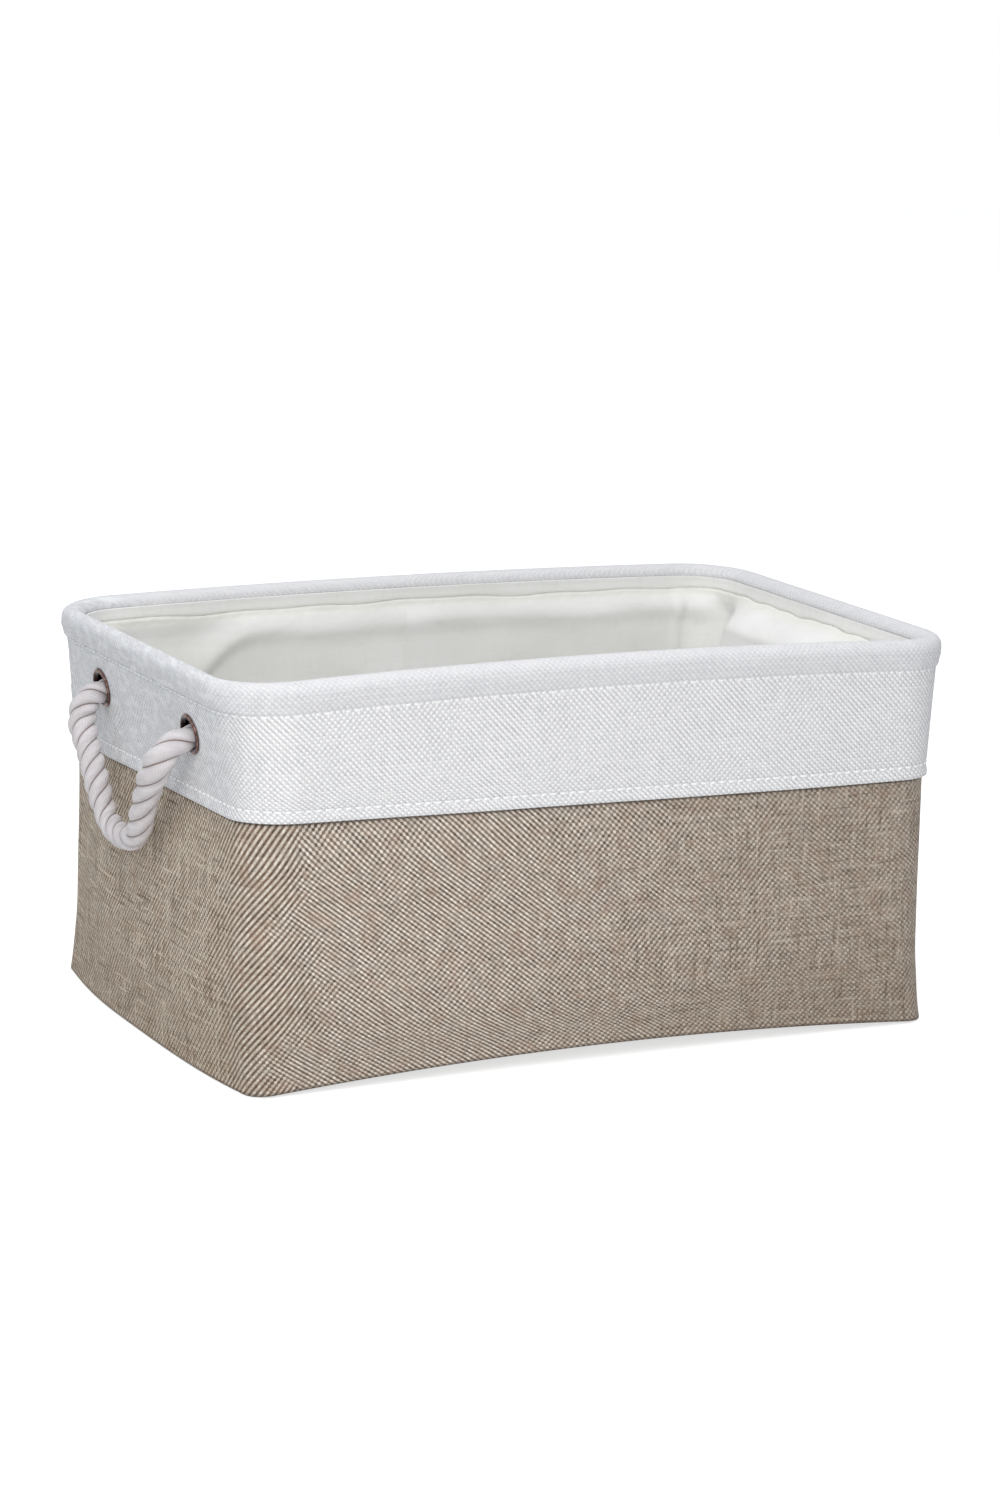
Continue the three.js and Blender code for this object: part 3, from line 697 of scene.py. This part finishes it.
band_heights = np.concatenate([
    np.linspace(seam_height, 137, 12), np.linspace(139, hem_centre_height - 3, 26),
])
upper_band = hoop("white_upper_band", 0, band_heights, fabric_thickness, linen_white, band_stand)
for side in (-1, 1):
    for leg in (-1, 1):
        bpy.ops.mesh.primitive_cylinder_add(
            vertices=48, radius=hole_radius * millimetre, depth=0.016,
            location=Vector(eyelet_seat(side, leg)) * millimetre,
            rotation=(0, side * (math.pi / 2 + wall_lean), 0),
        )
        punch = bpy.context.object
        cut = upper_band.modifiers.new("hole", "BOOLEAN")
        cut.object = punch
        cut.operation = "DIFFERENCE"
        cut.solver = "EXACT"
        apply_modifiers(upper_band)
        bpy.data.objects.remove(punch)
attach(upper_band, "rim")
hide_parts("upper_band")

# Rim wire: a hoop of drawn steel wire inside the hem.
steel, start, shader = new_finish("drawn steel", Metallic=1.0)
grain = solid_noise(start, scale=1400.0, detail=3.0)
steel_colour = grain.blend((0.42, 0.42, 0.43), (0.58, 0.58, 0.60))
dress(shader, start, colour=steel_colour, roughness=grain * 0.2 + 0.25)
refinish("rim_wire", steel)

# Rim hem: the white cloth folded over the wire and sewn through, so that the rim is a soft roll. Seen
# from inside, its lower edge is covered by the lining.
hem_inset, hem_radius = 3.5, 5.3
hem_stitch_height = hem_bottom + 0.4
roll = np.radians(np.linspace(205, 0, 22))
roll_heights = hem_centre_height + hem_radius * np.sin(roll)
outer_leg = np.concatenate([
    np.linspace(hem_bottom - 0.6, hem_bottom + 2, 9),
    np.linspace(hem_bottom + 2.8, roll_heights[0] - 0.8, 6),
])
inner_leg = np.linspace(hem_centre_height - 1.0, 183.6, 6)


def hem_leg_inset(z):
    """The outer leg lies almost flush with the band at the stitches, and swells into the roll."""
    rise = smooth((z - hem_bottom) / (roll_heights[0] + 2 - hem_bottom))
    return -0.15 - (hem_radius - hem_inset - 0.15) * rise


hem_insets = [
    *hem_leg_inset(outer_leg), *(hem_inset + hem_radius * np.cos(roll)),
    *(hem_inset + hem_radius - 0.6 * (1 - smooth((inner_leg - 183.6) / 5))),
]
hem_heights = [*outer_leg, *roll_heights, *inner_leg]


def hem_stand(x, y, z):
    """The stitches draw the hem in, more so at the ends, and between them and the wire it swells a
    little unevenly."""
    at_end = smooth((np.abs(x) - 175) / 15)
    drawn = (0.75 + 0.5 * at_end) * np.exp(-(((z - hem_stitch_height) / 1.0) ** 2))
    swell = smooth((z - hem_bottom) / 3) * smooth((191 - z) / 4)
    uneven = 0.15 * np.sin((x + y) / 9 + 1.3) + 0.12 * np.sin((x - 2 * y) / 23)
    return swell * (0.35 + 0.35 * at_end + uneven) - drawn + 0.5 * at_end * smooth((hem_bottom + 6 - z) / 6)


# The hem's cloth is the band's, greyed with painted shade.
hem_white = white_cloth(
    "white hem cloth", drawn=1.0, shade=0.22, contrast=0.75, rolled_contrast=0.3, left_end_shade_below=153,
)
rim_hem = hoop("white_rim_hem", hem_insets, hem_heights, 1.2, hem_white, hem_stand)
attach(rim_hem, "rim")
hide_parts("rim_hem")

# Stitches: thread in three rows round the bin, white where the hem is sewn down and where the band is
# sewn to the lower wall, and cream along the lining's top edge. Each stitch is a short bent float of
# thread whose ends dip into the cloth.
def thread_finish(name, dark, light):
    finish, start, shader = new_finish(name, Roughness=0.7, Sheen_Weight=0.1)
    fibres = solid_noise(start, scale=2600.0, detail=2.0)
    dress(shader, start, colour=fibres.step(0.3, 0.7).blend(dark, light), height=fibres, depth=0.0001)
    return finish


white_thread = thread_finish("white thread", (0.86, 0.86, 0.86), (0.97, 0.97, 0.97))
cream_thread = thread_finish("cream thread", (0.50, 0.47, 0.36), (0.64, 0.61, 0.49))
stitch_pitch = 5.1
stitch_length = 3.9
stitch_width = 1.4
stitch_height = 0.6

bpy.ops.mesh.primitive_cylinder_add(vertices=6, radius=0.5, depth=1, rotation=(0, math.pi / 2, 0))
stitch = bpy.context.object
bpy.ops.object.transform_apply()
bpy.ops.object.mode_set(mode="EDIT")
bpy.ops.mesh.select_all(action="SELECT")
bpy.ops.transform.resize(value=(stitch_length, stitch_width, stitch_height))
for share in (-0.4, -0.2, 0, 0.2, 0.4):
    bpy.ops.mesh.select_all(action="SELECT")
    bpy.ops.mesh.bisect(plane_co=(share * stitch_length, 0, 0), plane_no=(1, 0, 0))
for share in (-0.5, -0.4, -0.2, 0, 0.2, 0.4, 0.5):
    bpy.ops.mesh.select_all(action="DESELECT")
    bpy.ops.object.mode_set(mode="OBJECT")
    for vertex in stitch.data.vertices:
        vertex.select = abs(vertex.co.x - share * stitch_length) < 0.01
    bpy.ops.object.mode_set(mode="EDIT")
    size = math.sqrt(max(0.1, 1 - (2 * share) ** 4))
    bpy.ops.transform.resize(value=(1, size, size))
    bpy.ops.transform.translate(value=(0, 0, 0.35 - 0.75 * (2 * share) ** 2))
bpy.ops.object.mode_set(mode="OBJECT")
stitch_points = np.array([vertex.co for vertex in stitch.data.vertices])
stitch_faces = [list(face.vertices) for face in stitch.data.polygons]
bpy.data.objects.remove(stitch)


def stitch_row(name, inset, height, thread, stand=None, wander=None, out_sign=1):
    """A row of stitches round the bin, each bent along the cloth that it lies on."""
    points, across = round_the_bin([inset, inset], [height - 0.5, height + 0.5], stand)
    row = points.mean(axis=0)
    at = across.mean(axis=0)
    if wander is not None:
        row[:, 2] += wander(row[:, 0], row[:, 1])
    outs = np.stack([np.cos(outward), np.sin(outward), 0 * outward], axis=1) * out_sign
    rises = points[1] - points[0]
    row, outs, rises = (np.concatenate([values, values[:1]]) for values in (row, outs, rises))
    count = int((at[-1] - at[0]) / stitch_pitch)
    centres = at[0] + (np.arange(count) + 0.5) * (at[-1] - at[0]) / count
    where = centres[:, None] + stitch_points[None, :, 0]
    row, out, rise = (
        np.stack([np.interp(where, at, values[:, j]) for j in range(3)], axis=-1)
        for values in (row, outs, rises)
    )
    rise /= np.linalg.norm(rise, axis=2)[..., None]
    out = out - rise * (out * rise).sum(axis=2)[..., None]
    out /= np.linalg.norm(out, axis=2)[..., None]
    points = row + rise * stitch_points[None, :, 1:2] + out * stitch_points[None, :, 2:3]
    faces = [
        [i + k * len(stitch_points) for i in face][::out_sign] for k in range(count) for face in stitch_faces
    ]
    piece = new_piece(name, points.reshape(-1, 3), faces, thread)
    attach(piece, "rim")


stitch_row("band_stitches", 0, band_stitch_height, white_thread, band_stand)
stitch_row(
    "hem_stitches", hem_leg_inset(hem_stitch_height), hem_stitch_height, white_thread,
    hem_stand,
)

# Eyelets: two-part metal eyelets in an antique copper finish. The outer part is a domed flange and a
# barrel, whose end is curled over a washer on the inside of the wall.
copper, start, shader = new_finish("antique copper", Metallic=1.0)
tarnish = solid_noise(start, scale=420.0, detail=4.0)
from_middle = start.node("ShaderNodeAttribute", {"attribute_name": "from_middle"}, output=2)
copper_colour = tarnish.step(0.35, 0.65).blend((0.08, 0.045, 0.038), (0.22, 0.135, 0.12)).tinted(
    # Painted shade: each ring's inner slope and barrel, within about 9 mm of its middle, are darkened nearly
    # to black.
    ((0.012, 0.007, 0.006), from_middle.step(9.3, 8.3) * 0.95),
)
dress(
    shader, start, colour=copper_colour, roughness=tarnish * 0.2 + 0.2, height=tarnish, depth=0.00005,
    strength=0.3,
)
eyelet_profile = [
    (6.8, -5.4), (8.7, -5.4), (8.9, -5.1), (8.7, -4.8), (7.3, -4.8), (7.3, 0.3), (9.5, 0.3), (9.9, 0.4),
    (10.0, 0.65), (9.9, 1.0), (9.6, 1.35), (9.1, 1.55), (8.6, 1.5), (8.1, 1.2), (7.5, 0.7), (7.0, 0.1),
    (6.8, -0.6),
]
washer_profile = [(7.5, -4.5), (9.8, -4.5), (10, -4.3), (10, -3.9), (9.8, -3.7), (7.5, -3.7)]


def turned_ring(profile, material):
    """A circle extruded and widened along a closed outline of radius and height."""
    bpy.ops.mesh.primitive_circle_add(vertices=56, radius=profile[0][0], location=(0, 0, profile[0][1]))
    ring = bpy.context.object
    bpy.ops.object.transform_apply()
    bpy.ops.object.mode_set(mode="EDIT")
    bpy.ops.mesh.select_all(action="SELECT")
    for (radius, height), (next_radius, next_height) in zip(profile, profile[1:]):
        bpy.ops.mesh.extrude_edges_move(TRANSFORM_OT_translate={"value": (0, 0, next_height - height)})
        bpy.ops.transform.resize(value=(next_radius / radius, next_radius / radius, 1))
    bpy.ops.mesh.select_all(action="DESELECT")
    bpy.ops.mesh.select_mode(type="EDGE")
    bpy.ops.mesh.select_non_manifold()
    bpy.ops.mesh.bridge_edge_loops()
    bpy.ops.mesh.select_all(action="SELECT")
    bpy.ops.mesh.normals_make_consistent(inside=False)
    bpy.ops.transform.resize(value=(millimetre, millimetre, millimetre), center_override=(0, 0, 0))
    bpy.ops.object.mode_set(mode="OBJECT")
    distances = ring.data.attributes.new("from_middle", "FLOAT", "POINT")
    distances.data.foreach_set("value", [v.co.xy.length / millimetre for v in ring.data.vertices])
    ring.data.materials.append(material)
    bpy.ops.object.shade_smooth_by_angle(angle=math.radians(40))
    ring.select_set(False)
    return ring


def seat_rings(pattern, kind):
    """A copy of the ring at each of the four holes, square to the leaning end wall."""
    for end, side in ends:
        for place, leg in legs_of_handle:
            ring = pattern.copy()
            ring.data = pattern.data.copy()
            ring.name = f"{end}_{place}_copper_{kind}"
            scene.collection.objects.link(ring)
            seat = Matrix.Translation(Vector(eyelet_seat(side, leg)) * millimetre)
            ring.data.transform(seat @ Matrix.Rotation(side * (math.pi / 2 + wall_lean), 4, "Y"))
            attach(ring, "rim")
            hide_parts(f"{end}_{place}_{kind}")
    bpy.data.objects.remove(pattern)


seat_rings(turned_ring(eyelet_profile, copper), "eyelet")
seat_rings(turned_ring(washer_profile, copper), "washer")

# Lining: fine cream cloth, sewn in under the hem and hanging loose, so that it swells over the knots at
# both ends and creases below its seam. It is split at the white band's seam, because above it the lining
# goes with the rim and below it with the base.
lining_seam = 182.8
cream, start, shader = new_finish("cream lining", Roughness=0.85, Sheen_Weight=0.1)
across, along = surface_coordinates(start)
height, warp_shows, tint, hollow_shade = plain_weave(start, across, along, 0.62, 0.62, lean=0, streak=0.3)
cloud = noise(start, across * 0.02, along * 0.03, detail=3)
streaks = noise(start, across * 0.5, along * 0.05, z=5.0, detail=3.0, roughness=0.7)
threads = noise(start, across * 0.05, along * 0.5, z=9.0, detail=3.0, roughness=0.7)
off_seam = abs(along - lining_seam)
seam_shade_strength = noise(start, across * 0.02, 3.0, z=17.0)
near_corner = across.step(-395, -430) * across.step(-540, -470)
uneven_yarns = streaks.step(0.5, 0.75) * 0.14 + threads.step(0.5, 0.75) * 0.12
cream_colour = cloud.step(0.3, 0.7).blend((0.85, 0.845, 0.825), (0.91, 0.905, 0.89)).tinted(
    # Painted shade in the hollows between the yarns, and uneven yarns.
    ((0.6, 0.58, 0.52), hollow_shade * 0.1 + uneven_yarns),
    ((0.80, 0.78, 0.65), off_seam.step(6.0, 2.0) * (along.step(184, 182) * 0.17 + 0.08)),
    # Painted shade: the lining darkens low down, most near the back left corner.
    ((0.55, 0.54, 0.50), along.step(174, 156) * (near_corner * 0.2 + 0.06)),
    # Painted shade in the seam's groove: a dark line, stronger in places.
    ((0.28, 0.25, 0.17), off_seam.step(0.9, 0.25) * (seam_shade_strength.step(0.38, 0.6) * 0.6 + 0.3)),
)
dress(shader, start, colour=cream_colour, height=height + cloud * 3, depth=0.0002, strength=0.4)

lining_foot = 4.4
lining_path = np.array([
    (4.1, 6), (137, 6), (145.5, 4.2), (166, 4.6), (172, 6), (178, 8.8), (182, 9.6), (184, 9.5), (187, 9.3),
    (189.6, 9.4),
])
swell_depth, swell_reach, swell_crown = 19.8, 38, 10


def seam_wander(x, y):
    """The seam is sewn by hand and eye, and wanders by about a millimetre."""
    u = np.where(np.abs(y) > 100, x, 2 * y + 30)
    return 0.7 * np.sin(u / 19 + 0.8) * np.sin(u / 67 + 1) + 0.35 * np.sin(u / 7.3 + 2)


def lining_stand(x, y, z):
    """How far the lining stands in: the swell over the knots, the groove and puckers of the seam, the
    fold under it along the side walls, an upright fold near the corners, and soft creases."""
    at_end = smooth((np.abs(x) - 150) / 20) * smooth((112 - np.abs(y)) / 15)
    aside = np.maximum(np.abs(y - handle_shift) - eyelet_spacing / 2, 0)
    swell = smooth((swell_reach - aside) / (swell_reach - swell_crown))
    swell = swell * smooth((z - 112) / 33) * smooth((183.5 - z) / 16)
    side_wall = 1 - at_end
    fold_height = 170.5 - 20 * np.clip((-x - 85) / 30, 0, 1.1) ** 2 + 0.8 * np.sin(x / 21)
    above = smooth((183 - z) / np.maximum(183 - fold_height, 1))
    stays = 0.8 - 0.46 * smooth((-x - 60) / 60)
    below = (stays + (1 - stays) * smooth((z - fold_height + 9) / 11)) * smooth((z - 90) / 45)
    fold = 8 * np.minimum(above, below)
    upright = 2.4 * np.exp(-(((np.abs(x) - 166) / 3.5) ** 2))
    upright = upright + np.exp(-(((x + 56) / 2.5) ** 2)) * (z > 168)
    upright = upright * smooth((183 - z) / 6) * smooth((np.abs(y) - 100) / 12) * smooth((z - 120) / 30)
    off_seam = z - lining_seam - seam_wander(x, y)
    groove = 1.1 * np.exp(-((off_seam / 0.75) ** 2))
    puckers = 0.3 * np.sin((x + 1.3 * y) / 1.5) * np.exp(-(((off_seam + 2.4) / 2.2) ** 2))
    soft = 0.9 * np.sin(x / 17 + z / 12) * np.sin(z / 19 + y / 31) + 0.5 * np.sin((x + y) / 8.5 + z / 30)
    soft = soft * smooth((180 - z) / 12) * smooth((z - 5) / 40)
    inward = swell_depth * swell * at_end + (fold + upright) * (side_wall + 0 * z) + soft
    return groove - puckers - inward


def lining_piece(name, heights, wander=None):
    insets = np.interp(heights, lining_path[:, 0], lining_path[:, 1])
    return hoop(name, insets, heights, 0.9, cream, lining_stand, wander)


upper_heights = np.concatenate([np.linspace(seam_height, 178, 38), np.linspace(178.8, 189.6, 36)])
lining_upper = lining_piece("cream_upper_lining", upper_heights, seam_wander)
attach(lining_upper, "rim")
lining_lower = lining_piece("cream_lower_lining", np.linspace(lining_foot, seam_height, 46))
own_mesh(lining_lower)
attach(lining_lower, "base")
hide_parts("lining_wall")
stitch_row(
    "lining_stitches", 9.55, lining_seam, cream_thread, lining_stand, seam_wander, out_sign=-1,
)

# Lining floor: the same cloth over the base board, sewn to the lining's lower edge.
lining_floor = lying_sheet(
    "cream_lining_floor", 6.5, lining_foot, 0.8, cream,
    lambda x, y: 0.4 + 0.35 * np.sin(x / 23 + 0.7) * np.sin(y / 19 + 0.3),
)
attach(lining_floor, "base")
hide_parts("lining_floor")

# Floor and light: a plain white floor that keeps the bin's shadow, a large soft lamp at the front left,
# another overhead, and an even white surround.
def seen_directly(start):
    """1 where the camera, a gloss or a glass sees the surface, and 0 where it only gives light."""
    path = start.node("ShaderNodeLightPath")
    rays = ("Is Camera Ray", "Is Glossy Ray", "Is Transmission Ray")
    camera_ray, glossy, transmission = (Field(start.tree, path.socket.node.outputs[ray]) for ray in rays)
    return camera_ray.math("MAXIMUM", glossy.math("MAXIMUM", transmission))


bpy.ops.mesh.primitive_plane_add(size=9, location=(0, 0, -0.0004))
floor = bpy.context.object
floor.name = "floor"
material = bpy.data.materials.new("white floor")
material.use_nodes = True
tree = material.node_tree
tree.nodes.clear()
start = Field(tree)
diffuse = start.node("ShaderNodeBsdfDiffuse", {}, {"Color": (0.8, 0.8, 0.8, 1)})
glow = start.node("ShaderNodeEmission", {}, {"Color": (1, 1, 1, 1), "Strength": 0.66})
lit = start.node("ShaderNodeAddShader", {}, {0: diffuse, 1: glow})
mixed = start.node("ShaderNodeMixShader", {}, {0: seen_directly(start), 1: diffuse, 2: lit})
output = tree.nodes.new("ShaderNodeOutputMaterial")
tree.links.new(mixed.socket, output.inputs[0])
floor.data.materials.append(material)

world = bpy.data.worlds.new("white surround")
scene.world = world
world.use_nodes = True
tree = world.node_tree
tree.nodes.clear()
start = Field(tree)
plain = start.node("ShaderNodeBackground", {}, {"Color": (0.90, 0.95, 1.0, 1), "Strength": 0.46})
white = start.node("ShaderNodeBackground", {}, {"Color": (1, 1, 1, 1), "Strength": 1.0})
mixed = start.node("ShaderNodeMixShader", {}, {0: seen_directly(start), 1: plain, 2: white})
output = tree.nodes.new("ShaderNodeOutputWorld")
tree.links.new(mixed.socket, output.inputs[0])

bpy.ops.object.light_add(type="AREA", location=(-0.62, -1.05, 0.95))
key = bpy.context.object
key.data.shape = "DISK"
key.data.size = 1.5
key.data.energy = 12.8
key.data.color = (1.0, 0.985, 0.96)
key.rotation_mode = "QUATERNION"
key.rotation_quaternion = (key.location - Vector((0, 0, 0.12))).to_track_quat("Z", "Y")
bpy.ops.object.light_add(type="AREA", location=(-0.1, 0.1, 1.9))
overhead = bpy.context.object
overhead.data.shape = "DISK"
overhead.data.size = 1.4
overhead.data.energy = 10

scene.view_settings.view_transform = "Standard"
